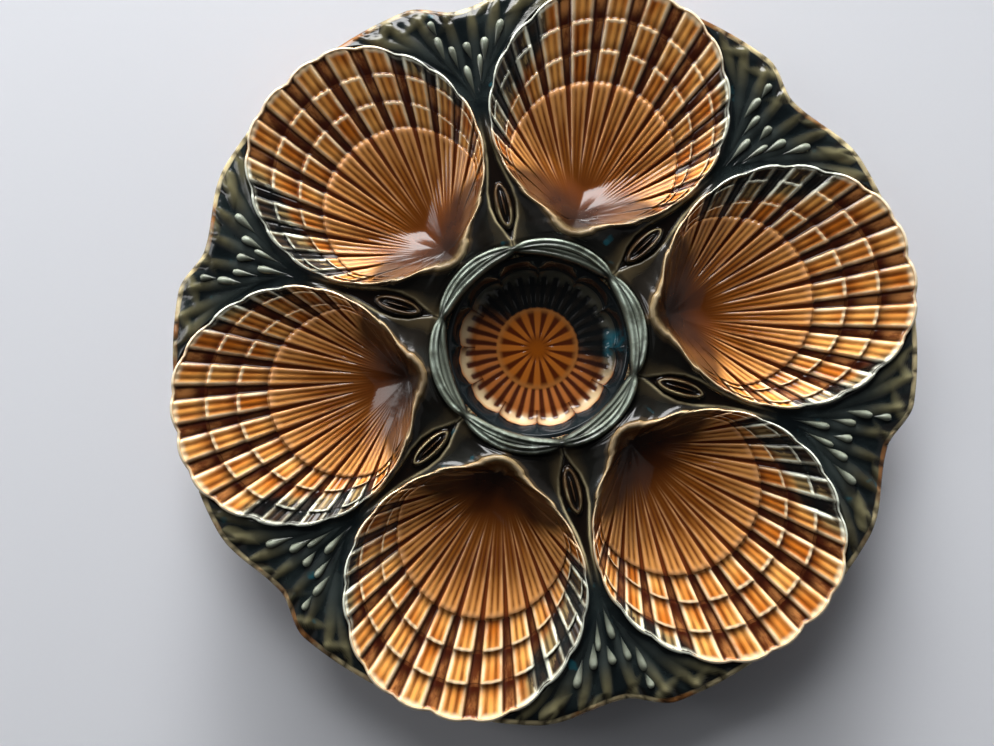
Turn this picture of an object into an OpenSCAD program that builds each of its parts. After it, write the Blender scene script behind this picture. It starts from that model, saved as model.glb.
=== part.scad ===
// Oyster plate with six scallop wells round a central well, in millimetres, standing on its foot ring

/* [Shell wells] */
// Length of a shell from the point where its ribs meet to its outer edge
shell_len = 79.2; // [70:0.2:90]
// Width of a shell as a share of its length
shell_w_share = 1.015; // [0.95:0.005:1.03]
// Distance from the ribs' meeting point back to the tip of the hinge
hinge_len = 7.6; // [6:0.1:9]
// Width of the ground between two shells where they come closest
neck_w = 3.1; // [2:0.1:5]
// Height of a shell's edge over the ground beside it
shell_lip = 1.6; // [1:0.1:2.5]
// Further height of a shell's edge at its hinge
hinge_rise = 3; // [1.5:0.1:4]
// Number of ribs on a shell
ribs = 14; // [12:2:16]
// Depth of the grooves between the ribs
rib_depth = 0.9; // [0.5:0.1:1.2]
// Distance to the first growth step as a share of the shell's length
step_1_share = 0.609; // [0.58:0.001:0.63]
// Distance to the second growth step as a share of the shell's length
step_2_share = 0.746; // [0.72:0.001:0.77]
// Distance to the third growth step as a share of the shell's length
step_3_share = 0.875; // [0.85:0.001:0.89]
// Height of a growth step
step_depth = 0.8; // [0.4:0.1:1.2]

/* [Dish] */
// How far a shell's outer end stands out past the rim
end_overhang = 2.2; // [1:0.1:3]
// Height of the ground's top at the rim
rim_h = 19; // [18:0.5:22]
// Height of the ground's top round the kelp ring
web_h = 17.5; // [16:0.5:18.5]
// Thickness of the clay
wall = 4.5; // [3.5:0.1:5]
// How far the rim dips inwards half way between two shells
notch_depth = 5.5; // [3:0.5:7]
// Turn of the first shell from the X axis, in degrees
first_turn = 14; // [0:1:59]

/* [Foot ring] */
// Outer radius of the foot ring as a share of the rim's radius
foot_share = 0.477; // [0.46:0.001:0.5]
// Width of the foot ring
foot_w = 7; // [5:0.5:8]
// Height of the foot ring
foot_h = 5; // [4:0.5:6]
// Rounding of the foot ring's lower edges
foot_round = 1.2; // [0.6:0.1:2]

/* [Kelp ring] */
// Width of the kelp ring from its inner to its outer side
kelp_w = 8.2; // [6.5:0.1:9]
// Width of each of its two strands
strand_w = 5; // [4:0.1:6]
// Height of the ring over the ground
kelp_h = 4.4; // [3:0.1:5.5]
// Ground left between the ring and the tips of the hinges
kelp_gap = 0.5; // [0.3:0.1:1.5]

/* [Central well] */
// Width of the well's lip, which lies under the kelp ring
lip_w = 1.8; // [1.2:0.1:2.5]
// Radius of the petal ring on the floor as a share of the mouth's radius
petal_share = 0.908; // [0.88:0.001:0.93]
// Radius inside the petals, where the ribbed band starts, as a share of the mouth's radius
band_share = 0.723; // [0.68:0.001:0.75]
// Radius of the star on the floor as a share of the mouth's radius
star_share = 0.489; // [0.43:0.001:0.53]
// Number of petals
petals = 12; // [8:4:12]
// Number of the star's rays
rays = 16; // [8:8:16]
// Height of the petals and rays
floor_relief = 0.7; // [0.4:0.1:1]

/* [Buds and drops] */
// Length of a leaf bud
pod_len = 17; // [14:0.5:18]
// Width of a leaf bud
pod_w = 6.6; // [5:0.1:7]
// Height of a leaf bud over the ground
pod_h = 2.6; // [1.5:0.1:3]
// Distance from the kelp ring to a bud's inner end
pod_gap = 3.6; // [2.6:0.1:5]
// Height of a seaweed drop over the ground
drop_h = 1.2; // [0.8:0.1:1.6]
// Width of a middling seaweed drop
drop_w = 2.6; // [2:0.1:3]
// Length of a middling seaweed drop
drop_len = 7; // [5:0.1:7.5]

/* [Hidden] */
shells = 6;
sector = 360 / shells;
seam = 0.02;
overrun = 1;

function clamp(x) = max(0, min(1, x));
function smooth(x) = clamp(x) * clamp(x) * (3 - 2 * clamp(x));
function mix(a, b, share) = a + (b - a) * share;
function polar(r, angle) = [r * cos(angle), r * sin(angle)];

// Places that follow from the shells: they stand side by side round the plate, one neck apart
shell_w = shell_len * shell_w_share;
fan_r = shell_w / 2;
fan_x = shell_len - fan_r;
apex_r = (fan_r + neck_w / 2) / sin(sector / 2) - fan_x;
rim_r = apex_r + shell_len - end_overhang;
kelp_r = apex_r - hinge_len - kelp_gap;
mouth_r = kelp_r - kelp_w;
well_r = mouth_r + lip_w;
foot_r = rim_r * foot_share;

// Solids skinned over rings of points
// Each ring has as many points as the next, and a pole closes each end.
function quad_faces(rows, n) =
    [for (i = [0:rows - 2], j = [0:n - 1], half = [0, 1])
        let (a = i * n + j, b = i * n + (j + 1) % n, c = a + n, d = b + n)
        half == 0 ? [a, b, d] : [a, d, c]];

module skin_with_poles(rings, first_pole, last_pole) {
    n = len(rings[0]);
    count = n * len(rings);
    first_fan = [for (j = [0:n - 1]) [count, (j + 1) % n, j]];
    last_fan = [for (j = [0:n - 1]) [count + 1, count - n + j, count - n + (j + 1) % n]];
    polyhedron(points = concat([for (ring = rings) each ring], [first_pole, last_pole]),
               faces = concat(quad_faces(len(rings), n), first_fan, last_fan));
}

module skin_hoop(rings) {
    n = len(rings[0]);
    polyhedron(points = [for (ring = rings) each ring],
               faces = [for (face = quad_faces(len(rings) + 1, n)) [for (k = face) k % (n * len(rings))]]);
}

// Ground surface and the back of the plate
// The ground is level under the kelp ring and climbs to the rim. The back follows it one wall below,
// except over the foot ring, where everything comes down to the same level seat.
ground_power = 1.6;
function ground(r) = web_h + (rim_h - web_h) * pow(max(0, (r - kelp_r) / (rim_r - kelp_r)), ground_power);

foot_mid_r = foot_r - foot_w / 2;
seat_margin = 1;
seat_run = 5;
function seat(r) = clamp(1 - (abs(r - foot_mid_r) - foot_w / 2 - seat_margin) / seat_run);

// Wavy outline of the rim
// Each notch is steep on one side and slow on the other, and under a shell's end the rim is straight.
steep_angle = 8;
slow_angle = 14;
lobe_angle = 20;
lobe_step = 2;
function notch(angle) = 0.5 + 0.5 * cos(180 * min(1, abs(angle) / (angle > 0 ? steep_angle : slow_angle)));
function rim_point(angle, turn) = polar(rim_r - notch_depth * notch(angle), angle + turn);
rim_outline = [for (i = [0:shells - 1], angle = [-lobe_angle:lobe_step:lobe_angle])
    rim_point(angle, first_turn + (i + 0.5) * sector)];

module dish_section() {
    r_start = well_r;
    seat_in = foot_r - foot_w - seat_margin;
    seat_out = foot_r + seat_margin;
    r_end = rim_r + overrun;
    top_steps = 14;
    top = [for (i = [0:top_steps]) let (r = mix(kelp_r, r_end, i / top_steps)) [r, ground(r)]];
    back_in = [for (r = [r_start, kelp_r, seat_in - seat_run]) [r, ground(r) - wall]];
    back_steps = 10;
    back_out = [for (i = [0:back_steps])
        let (r = mix(seat_out + seat_run, r_end, i / back_steps)) [r, ground(r) - wall]];
    back = concat(back_in, [[seat_in, foot_h], [seat_out, foot_h]], back_out);
    outline = concat([[r_start, web_h]], top, [for (i = [len(back) - 1:-1:0]) back[i]]);
    polygon(outline);
}

module dish_body() {
    color([0.13, 0.16, 0.16])
    difference() {
        intersection() {
            rotate_extrude($fn = 120) dish_section();
            linear_extrude(height = rim_h + wall) polygon(rim_outline);
        }
        for (i = [0:shells - 1])
            rotate(first_turn + i * sector)
            translate([apex_r, 0, 0])
            linear_extrude(height = rim_h + wall + overrun) polygon(shell_outline);
    }
}

module foot_ring() {
    steps = 6;
    inner = foot_r - foot_w;
    function corner(r, start) = [for (i = [0:steps])
        let (angle = start + 90 * i / steps)
        [r + foot_round * cos(angle), foot_round + foot_round * sin(angle)]];
    section = concat([[inner, foot_h]], corner(inner + foot_round, 180),
                     corner(foot_r - foot_round, 270), [[foot_r, foot_h]]);
    color([0.72, 0.5, 0.3])
    rotate_extrude($fn = 120) polygon(section);
}

// Outline of a shell, seen from the point where its ribs meet
// A round fan, two straight sides that touch it, and a blunt hinge tip.
side_angle = asin(fan_r / (fan_x + hinge_len));
side_len = (fan_x + hinge_len) * cos(side_angle);
touch_angle = atan2(side_len * sin(side_angle), side_len * cos(side_angle) - hinge_len);
shoulder = 1.4;
shoulder_angle = 30;
scallop = 0.6;

function fan_reach(phi) = fan_x * cos(phi) + sqrt(pow(fan_r, 2) - pow(fan_x * sin(phi), 2));
function shoulder_reach(phi) = phi < shoulder_angle ? shoulder * sin(180 * phi / shoulder_angle) : 0;
function side_reach(phi) = hinge_len * sin(side_angle) / sin(phi - side_angle);
function reach(phi) = let (turn = abs(phi))
    turn < touch_angle ? fan_reach(turn) + shoulder_reach(turn) : side_reach(turn);

// Columns of a shell's surface: four a groove, at its floor and its shoulders, then five a hinge side
fan_angle = 134.4;
rib_pitch = fan_angle / ribs;
groove_shares = [[-0.25, 0], [-0.14, 1], [0.14, 1], [0.25, 0]];
hinge_shares = [0.86, 0.68, 0.5, 0.32, 0.14];
fan_columns = [for (i = [0:ribs], share = groove_shares)
    [(i - ribs / 2 + share[0]) * rib_pitch, share[1]]];
hinge_angles = [for (share = hinge_shares)
    atan2(share * side_len * sin(side_angle), share * side_len * cos(side_angle) - hinge_len)];
hinge_columns = concat([for (angle = hinge_angles) [angle, 0]],
                       [for (i = [len(hinge_angles) - 1:-1:0]) [-hinge_angles[i], 0]]);
columns = concat(fan_columns, hinge_columns);

function edge_reach(column) = reach(column[0]) - scallop * column[1];
shell_outline = [for (column = columns) polar(edge_reach(column), column[0])];

// Height of a shell's surface over the table
// The bowl is deepest where the ribs meet and gentle towards the rim, and its hinge walls are steep.
bowl_floor = foot_h + wall;
hinge_fade_share = 0.7;
tip_r = apex_r - hinge_len;
function plate_r(phi, distance) = norm([apex_r + distance * cos(phi), distance * sin(phi)]);
function edge_height(phi) = let (r = plate_r(phi, reach(phi)))
    ground(r) + shell_lip + hinge_rise * pow(clamp(1 - (r - tip_r) / (rim_r * hinge_fade_share - tip_r)), 2);
fan_power = 1.45;
side_power = 3.2;
hinge_power = 1.6;
side_angles = [25, 60];
hinge_wall_angles = [62, 76];
function passed(turn, angles) = smooth((turn - angles[0]) / (angles[1] - angles[0]));
function bowl_power(phi) = let (turn = abs(phi))
    mix(fan_power, side_power, passed(turn, side_angles)) - hinge_power * passed(turn, hinge_wall_angles);
function bowl(phi, share) = mix(bowl_floor, edge_height(phi), pow(share, bowl_power(phi)));

// Growth steps, each a share of the way out along its column, so that they stay in order at the hinge
step_shares = [step_1_share, step_2_share, step_3_share];
step_turn_shares = [0.78, 0.9, 0.9];
step_limit_shares = [0.8, 0.88, 0.95];
step_run_share = 0.014;
function step_share(i, phi) =
    min(step_limit_shares[i],
        step_shares[i] * shell_len * cos(step_turn_shares[i] * min(abs(phi), touch_angle)) / reach(phi));
step_end_angles = [56, 68];
function step_fade(phi) = 1 - passed(abs(phi), step_end_angles);

// Rows of a shell's surface from the middle out: share of the way, part of the step's height, groove depth
function surface_rows(phi) = let (a = step_share(0, phi), b = step_share(1, phi), c = step_share(2, phi))
    [[0.3 * a, 0.1, 0.25], [0.65 * a, 0.4, 0.5], [a, 1, 0.7], [a + step_run_share, 0, 0.9],
     [b, 1, 1], [b + step_run_share, 0, 1], [c, 1, 1], [c + step_run_share, 0, 1], [1, 0.6, 0.7]];

function surface_point(column, row) = let (phi = column[0], share = row[0])
    [each polar(share * edge_reach(column), phi),
     bowl(phi, share) + step_depth * row[1] * step_fade(phi) - rib_depth * row[2] * column[1]];

// Back of a shell, flush with the dish's back along its outline and level over the foot ring
back_shares = [1, 0.7, 0.35];
side_wall_share = 2.2;
side_wall_angles = [50, 75];
function back_wall(phi) = wall * mix(1, side_wall_share, passed(abs(phi), side_wall_angles));
function back_height(phi, share) = let (r = plate_r(phi, share * reach(phi)),
    bulge = max(foot_h, bowl(phi, share) - back_wall(phi)),
    open = mix(bulge, ground(r) - wall, smooth((share - 0.6) / 0.4)))
    mix(open, foot_h, seat(r));
function back_point(column, share) =
    [each polar(share * edge_reach(column), column[0]), back_height(column[0], share)];

module shell_well(i) {
    row_count = len(surface_rows(0));
    front = [for (k = [0:row_count - 1])
        [for (column = columns) surface_point(column, surface_rows(column[0])[k])]];
    back = [for (share = back_shares) [for (column = columns) back_point(column, share)]];
    color([0.72, 0.42, 0.18])
    rotate(first_turn + (i - 1) * sector)
    translate([apex_r, 0, 0])
    skin_with_poles(concat(front, back), [0, 0, bowl_floor], [0, 0, foot_h]);
}

// Central well: a star, a ribbed band, a ring of petals and a steep wall up to the mouth
well_columns = 96;
petal_ribs = 3;
well_floor = foot_h + wall;
petal_r = mouth_r * petal_share;
band_r = mouth_r * band_share;
star_r = mouth_r * star_share;
band_rise = 1.6;
petal_rise = 3.6;
trough_w = 0.5;
function wave(angle, count) = 0.5 + 0.5 * cos(angle * count);
function petal_shape(angle) = pow(abs(sin(angle * petals / 2)), 0.5);
function well_rows(angle) = let (
        ray = wave(angle, rays), rib = wave(angle, petals * petal_ribs), petal = petal_shape(angle),
        tip_r = petal_r - (1 - petal) * trough_w * 2)
    [[star_r / 3, well_floor + floor_relief * 0.6],
     [star_r * 0.9, well_floor + floor_relief * ray],
     [star_r, well_floor + floor_relief * 0.2],
     [star_r + trough_w, well_floor + floor_relief * (0.4 + 0.6 * rib)],
     [band_r - trough_w, well_floor + band_rise],
     [band_r, well_floor + band_rise + floor_relief * (0.3 + 0.4 * rib)],
     [tip_r - trough_w, well_floor + petal_rise - floor_relief * (1 - petal)],
     [tip_r, well_floor + petal_rise - floor_relief],
     [mouth_r - trough_w, web_h - floor_relief],
     [mouth_r, web_h],
     [well_r, web_h],
     [well_r, foot_h]];

module centre_well() {
    angles = [for (j = [0:well_columns - 1]) 360 * j / well_columns];
    row_count = len(well_rows(0));
    rings = [for (k = [0:row_count - 1])
        [for (angle = angles) let (row = well_rows(angle)[k]) [each polar(row[0], angle), row[1]]]];
    color([0.6, 0.3, 0.1])
    skin_with_poles(rings, [0, 0, well_floor + floor_relief], [0, 0, foot_h]);
}

// Kelp ring: two strands that cross half way between the shells
kelp_columns = 120;
kelp_points = 11;
strand_swing = (kelp_r - mouth_r - strand_w) / 2;
kelp_mid_r = (kelp_r + mouth_r) / 2;
pinch_share = 0.12;
function strand_rise(r, centre) = sqrt(max(0, 1 - pow((r - centre) / (strand_w / 2), 2)));
function kelp_height(r, swing) = let (
        outer = strand_rise(r, kelp_mid_r + strand_swing * swing),
        inner = strand_rise(r, kelp_mid_r - strand_swing * swing))
    kelp_h * max(outer, inner * (1 - pinch_share * (1 + swing)), 0.1);

function kelp_section(angle) = let (
        swing = sin((angle - first_turn - sector / 2) * shells / 2),
        half_w = strand_w / 2 + strand_swing * abs(swing),
        low = kelp_mid_r - half_w, high = kelp_mid_r + half_w)
    concat([for (k = [0:kelp_points - 1])
            let (r = mix(low, high, k / (kelp_points - 1))) [r, web_h + kelp_height(r, swing)]],
           [[high, web_h], [low, web_h]]);

module kelp_ring() {
    angles = [for (j = [0:kelp_columns - 1]) 360 * j / kelp_columns];
    color([0.62, 0.66, 0.58])
    skin_hoop([for (angle = angles) [for (point = kelp_section(angle)) [each polar(point[0], angle), point[1]]]]);
}

// Leaf buds and seaweed drops
// Each is a leaf laid on the ground: a pointed tail towards the middle and a fuller head outwards.
leaf_shares = [0.12, 0.3, 0.5, 0.7, 0.88];
function leaf_width(share, fullness) = sqrt(sin(180 * pow(share, fullness)));
function leaf_point(tail, head, side, up, share) = let (
        along = head - tail, across = [-along[1], along[0]] / norm(along),
        flat = tail + share * along + side * across)
    [flat[0], flat[1], ground(norm(flat)) + seam + up];

module leaf(tail, head, width, height, fullness, fold) {
    sides = [-1, -0.55, 0, 0.55, 1];
    rises = [0, 0.8, fold, 0.8, 0];
    rings = [for (share = leaf_shares) let (full = leaf_width(share, fullness))
        [for (k = [0:len(sides) - 1])
            leaf_point(tail, head, sides[k] * full * width / 2, rises[k] * full * height, share)]];
    skin_with_poles(rings, leaf_point(tail, head, 0, 0, 0), leaf_point(tail, head, 0, 0, 1));
}

module pod(i) {
    color([0.2, 0.22, 0.18])
    rotate(first_turn + (i - 0.5) * sector)
    leaf([kelp_r + pod_gap, 0], [kelp_r + pod_gap + pod_len, 0], pod_w, pod_h, 1, 1.1);
}

// Seaweed drops of one gap, each with the angle of its head from the gap's middle, its slant from the line
// to the plate's middle, its head's share of the rim's radius, and its shares of a middling drop's size
drop_angles = [0.8, 2.6, 4.6, 4.9, -0.2, -2.4, -3.9, -7.3];
slant_angles = [4, 4, 3, 10, 8, -8, -10, -20];
head_shares = [0.805, 0.868, 0.905, 0.952, 0.868, 0.828, 0.872, 0.914];
drop_len_shares = [1.3, 1, 1.2, 0.7, 0.8, 1.2, 1.1, 1.2];
drop_w_shares = [1, 0.95, 1.1, 1, 1.1, 0.8, 1.15, 1.15];

module kelp_sprig(i) {
    color([0.45, 0.47, 0.4])
    rotate(first_turn + (i - 0.5) * sector)
    for (k = [0:len(drop_angles) - 1]) {
        head = polar(head_shares[k] * rim_r, drop_angles[k]);
        tail = head - polar(drop_len_shares[k] * drop_len, drop_angles[k] + slant_angles[k]);
        leaf(tail, head, drop_w_shares[k] * drop_w, drop_h, 1.8, 1);
    }
}

dish_body();
foot_ring();
centre_well();
kelp_ring();
for (i = [1:shells]) {
    shell_well(i);
    pod(i);
    kelp_sprig(i);
}
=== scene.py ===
import math

import bpy
import numpy as np
from mathutils import Matrix, Quaternion, Vector


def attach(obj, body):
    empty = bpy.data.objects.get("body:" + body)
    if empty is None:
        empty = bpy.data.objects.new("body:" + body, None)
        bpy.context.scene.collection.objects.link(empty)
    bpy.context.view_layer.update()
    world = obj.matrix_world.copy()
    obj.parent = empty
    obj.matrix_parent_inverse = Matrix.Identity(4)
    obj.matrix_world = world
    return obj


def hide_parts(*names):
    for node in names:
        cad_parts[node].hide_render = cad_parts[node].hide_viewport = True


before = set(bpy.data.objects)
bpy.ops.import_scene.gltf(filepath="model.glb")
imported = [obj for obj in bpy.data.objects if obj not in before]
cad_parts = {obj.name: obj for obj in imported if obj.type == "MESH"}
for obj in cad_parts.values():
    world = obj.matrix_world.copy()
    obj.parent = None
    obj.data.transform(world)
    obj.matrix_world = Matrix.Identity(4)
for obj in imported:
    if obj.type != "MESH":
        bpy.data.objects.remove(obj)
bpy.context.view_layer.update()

# Shell wells
# Six scallop shells pressed into the plate, each with a ribbed fan in four growth bands, a smooth hinge
# and a rounded rim. Fired clay under amber glaze that runs dark into the grooves and thin on the edges.
shells = 6
sector = math.radians(360 / shells)
first_turn = math.radians(14)
shell_len = 0.0792
shell_w_share = 1.015
shell_w = shell_w_share * shell_len
hinge_len = 0.0076
neck_w = 0.0031
shell_lip = 0.0016
hinge_rise = 0.003
end_overhang = 0.0022
web_h = 0.0175
rim_h = 0.019
wall = 0.0045
foot_h = 0.005
fan_r = shell_w / 2
fan_x = shell_len - fan_r
apex_r = (fan_r + neck_w / 2) / math.sin(sector / 2) - fan_x
rim_r = apex_r + shell_len - end_overhang
tip_r = apex_r - hinge_len
kelp_gap = 0.0005
kelp_r = tip_r - kelp_gap
foot_share = 0.477
foot_r = foot_share * rim_r
foot_w = 0.007
bowl_floor = foot_h + wall


def clamp(x):
    return np.clip(x, 0, 1)


def smooth(x):
    return clamp(x) ** 2 * (3 - 2 * clamp(x))


def mix(a, b, share):
    return a + (b - a) * share


def passed(x, start, end):
    return smooth((x - start) / (end - start))


def stacked(values, like):
    """A table with one row for each of these values, each row as long as the given array."""
    return np.stack([0 * like + value for value in values])


def zone_and_part(row, zone_rows):
    """Which zone of a mesh each row lies in, and how far it is through that zone."""
    rows = np.array(zone_rows)
    ends = np.cumsum(rows)
    zone = np.minimum(np.searchsorted(ends, row, side="left"), len(rows) - 1)
    return zone, (row - (ends - rows)[zone]) / rows[zone]


def ground(r):
    """Height of the ground between the shells, rising from the kelp ring to the rim."""
    return web_h + (rim_h - web_h) * np.maximum(0, (r - kelp_r) / (rim_r - kelp_r)) ** 1.6


def edge_over(r):
    """How far a shell's edge stands over the ground, most at the hinge."""
    return shell_lip + hinge_rise * clamp(1 - (r - tip_r) / (0.7 * rim_r - tip_r)) ** 2


foot_seat_flat = 0.001
foot_seat_slope = 0.009


def foot_seat(r):
    """1 where the plate's back sits on the foot ring, falling to 0 on both sides of it."""
    away = np.abs(r - foot_r + foot_w / 2) - foot_w / 2
    return smooth(1 - (away - foot_seat_flat) / foot_seat_slope)


def sheet(name, columns, rows, place):
    """A grid whose points are put in place by their shares across and along, closed where its edges meet."""
    bpy.ops.object.select_all(action="DESELECT")
    bpy.ops.mesh.primitive_grid_add(x_subdivisions=columns, y_subdivisions=rows, size=1, calc_uvs=True)
    piece = bpy.context.object
    piece.name = name
    mesh = piece.data
    flat = np.empty(len(mesh.vertices) * 3, dtype=np.float32)
    mesh.vertices.foreach_get("co", flat)
    across = np.round((flat[0::3] + 0.5) * columns).astype(int)
    along = np.round((flat[1::3] + 0.5) * rows).astype(int)
    points, marks = place(across, along)
    mesh.vertices.foreach_set("co", np.stack(points, axis=1).astype(np.float32).ravel())
    for mark_name, values in marks.items():
        layer = mesh.attributes.new(mark_name, "FLOAT", "POINT")
        layer.data.foreach_set("value", np.asarray(values, dtype=np.float32))
    close(piece)
    return piece


def close(piece):
    """Joins the edges that meet, turns the faces outwards and smooths the shading."""
    bpy.ops.object.select_all(action="DESELECT")
    piece.select_set(True)
    bpy.context.view_layer.objects.active = piece
    bpy.ops.object.mode_set(mode="EDIT")
    bpy.ops.mesh.select_all(action="SELECT")
    bpy.ops.mesh.remove_doubles(threshold=0.00001)
    bpy.ops.mesh.select_all(action="SELECT")
    bpy.ops.mesh.normals_make_consistent(inside=False)
    bpy.ops.object.mode_set(mode="OBJECT")
    bpy.ops.object.shade_smooth()


def turned_copies(piece, name, count, turn):
    """The piece and its copies round the plate, each with its own mesh, turned in the mesh itself."""
    made = []
    for i in range(count):
        copy = piece if i == 0 else piece.copy()
        if i:
            copy.data = piece.data.copy()
            bpy.context.collection.objects.link(copy)
        copy.name = f"{name}_{i + 1}"
        made.append(copy)
    for i, copy in enumerate(made):
        copy.data.transform(Matrix.Rotation(turn + i * sector, 4, "Z"))
    return made


side_angle = math.asin(fan_r / (fan_x + hinge_len))
side_len = (fan_x + hinge_len) * math.cos(side_angle)
touch_angle = math.atan2(side_len * math.sin(side_angle), side_len * math.cos(side_angle) - hinge_len)
tip_round = math.radians(11)
nose_full = 0.0009
flank_dip = 0.0003
shoulder_full = 0.0005
fan_full = 0.0014
# Angles from the shell's axis, in degrees, between which the outline fills out or falls back
shoulder_start_turns = (77.5, 81.5)
shoulder_end_turns = (81.5, 90)
flank_turn = 91
flank_dip_turn = 6
nose_start_turns = (107, 124)
nose_end_turns = (148, 176)
ribs = 16
rib_pitch = math.radians(9.6)
rib_columns = 22
fan_columns = rib_columns * ribs
fan_end = ribs * rib_pitch / 2
side_columns = 54
shoulder_share = 0.2
shell_columns = fan_columns + 2 * side_columns


def shell_turn(column):
    """Angle of a column from the shell's axis, with the ribs in the middle and the hinge at both ends."""
    place = column - shell_columns / 2
    fan = place / rib_columns * rib_pitch
    share = clamp((np.abs(place) - fan_columns / 2) / side_columns)
    early = mix(fan_end, touch_angle, clamp(share / shoulder_share))
    left = side_len * clamp(1 - (share - shoulder_share) / (1 - shoulder_share))
    late = np.arctan2(left * math.sin(side_angle), left * math.cos(side_angle) - hinge_len)
    side = np.where(share < shoulder_share, early, late)
    return np.where(np.abs(place) <= fan_columns / 2, fan, np.sign(place) * side)


def shell_reach(phi):
    """Distance from the shell's apex to its rim in this direction: a round fan, then straight hinge sides."""
    turn = np.abs(phi)
    fan_turn = np.minimum(turn, touch_angle)
    fan = fan_x * np.cos(fan_turn) + np.sqrt(fan_r**2 - (fan_x * np.sin(fan_turn)) ** 2)
    fan = fan + np.where(turn < math.radians(30), fan_full * np.sin(6 * turn), 0)
    round_turn = math.pi - np.hypot(math.pi - turn, tip_round)
    degrees = np.degrees(turn)
    shoulder = passed(degrees, *shoulder_start_turns) * (1 - passed(degrees, *shoulder_end_turns))
    full = nose_full * passed(degrees, *nose_start_turns) * (1 - 0.7 * passed(degrees, *nose_end_turns))
    full = full - flank_dip * np.exp(-(((degrees - flank_turn) / flank_dip_turn) ** 2))
    full = full + shoulder_full * shoulder
    side = (hinge_len * math.sin(side_angle) + full) / np.sin(np.maximum(round_turn - side_angle, 0.05))
    return np.where(turn < touch_angle, fan, side)


def plate_r(phi, distance):
    """Distance from the plate's middle of a point given from the shell's apex."""
    return np.hypot(apex_r + distance * np.cos(phi), distance * np.sin(phi))


def shell_edge_h(phi):
    """Height of the shell's edge in this direction from its apex."""
    r = plate_r(phi, shell_reach(phi))
    return ground(r) + edge_over(r)


corner_wall = 0.0175
corner_round = 0.0009
back_corner_round = 0.006
fan_power = 1.45
side_power = 3.2
hinge_power = 2
side_turns = (25, 60)
hinge_turns = (62, 80)


def bowl_flow(phi, share, reach, corner=corner_round):
    """How far up the bowl a point is, from 0 on the floor to 1 at the rim, and the share due to the hinge."""
    turn = np.degrees(np.abs(phi))
    power = mix(fan_power, side_power, passed(turn, *side_turns)) + hinge_power * passed(turn, *hinge_turns)
    from_tip = share * reach * np.cos(phi) + hinge_len
    aside = np.hypot(share * reach * np.sin(phi), corner)
    to_side = from_tip * math.sin(side_angle) - aside * math.cos(side_angle)
    up = clamp(1 - to_side / corner_wall) ** 1.25
    return 1 - (1 - share**power) * (1 - up), up


step_shares = (0.609, 0.746, 0.875)
step_limit_shares = (0.8, 0.88, 0.95)
step_bend_shares = (0.78, 0.9, 0.9)


def step_share(i, phi):
    """Share of the way to the rim at which a growth band ends."""
    turn = np.minimum(np.abs(phi), touch_angle)
    far = step_shares[i] * shell_len
    return np.minimum(step_limit_shares[i], far * np.cos(step_bend_shares[i] * turn) / shell_reach(phi))


step_run_share = 0.012
step_depth = 0.0008
rib_depth = 0.0009
rim_scallop = 0.0009
furrow_depth = 0.00022
fold_depth = 0.0003
fold_inset = 0.0064
fold_w = 0.0006
ridge_w = 0.0032
lip_at_fan = 0.0009
lip_at_hinge = 0.0015
lip_less_at_tip = 0.0003
roll_start = math.radians(-42)
# Distances from the hinge's tip between which its smooth walls and the painted shade by the tip end
hinge_zone = (0.022, 0.038)
tip_shade = (0.004, 0.019)
# Angles from the shell's axis, in degrees, between which each form starts or ends
rib_end_turns = (74.5, 76.5)
weak_rib_turns = (60, 76)
step_end_turns = (62, 76)
broad_lip_turns = (66, 92)
tip_lip_turns = (120, 160)
fold_start_turns = (70, 95)
fold_end_turns = (100, 125)
thick_wall_turns = (50, 75)
broad_crown_turns = (60, 90)
lap_start_turns = (16, 34)
lap_end_turns = (50, 66)
short_lap_end_turns = (44, 58)
# For each growth band: half the gap between two ribs as a share of their pitch, and how far a low rib rises
# in that gap. The gap of the first band grows from apex_gap_share.
gap_shares = (0.09, 0.14, 0.16, 0.175)
low_rib_shares = (0, 0.3, 0.8, 1)
apex_gap_share = 0.04
furrow_share = 0.66
furrow_w_share = 0.17
crest_shares = (0.14, 0.56)
# Rows of the mesh in each zone: four growth bands with a step after each of the first three, then the rim's
# roll, its outer wall and the back
zone_rows = (34, 3, 15, 3, 15, 3, 15, 10, 3, 24)
outer_band = 6
rim_zone = 7
wall_zone = 8
back_zone = 9
shell_rows = sum(zone_rows)


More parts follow.
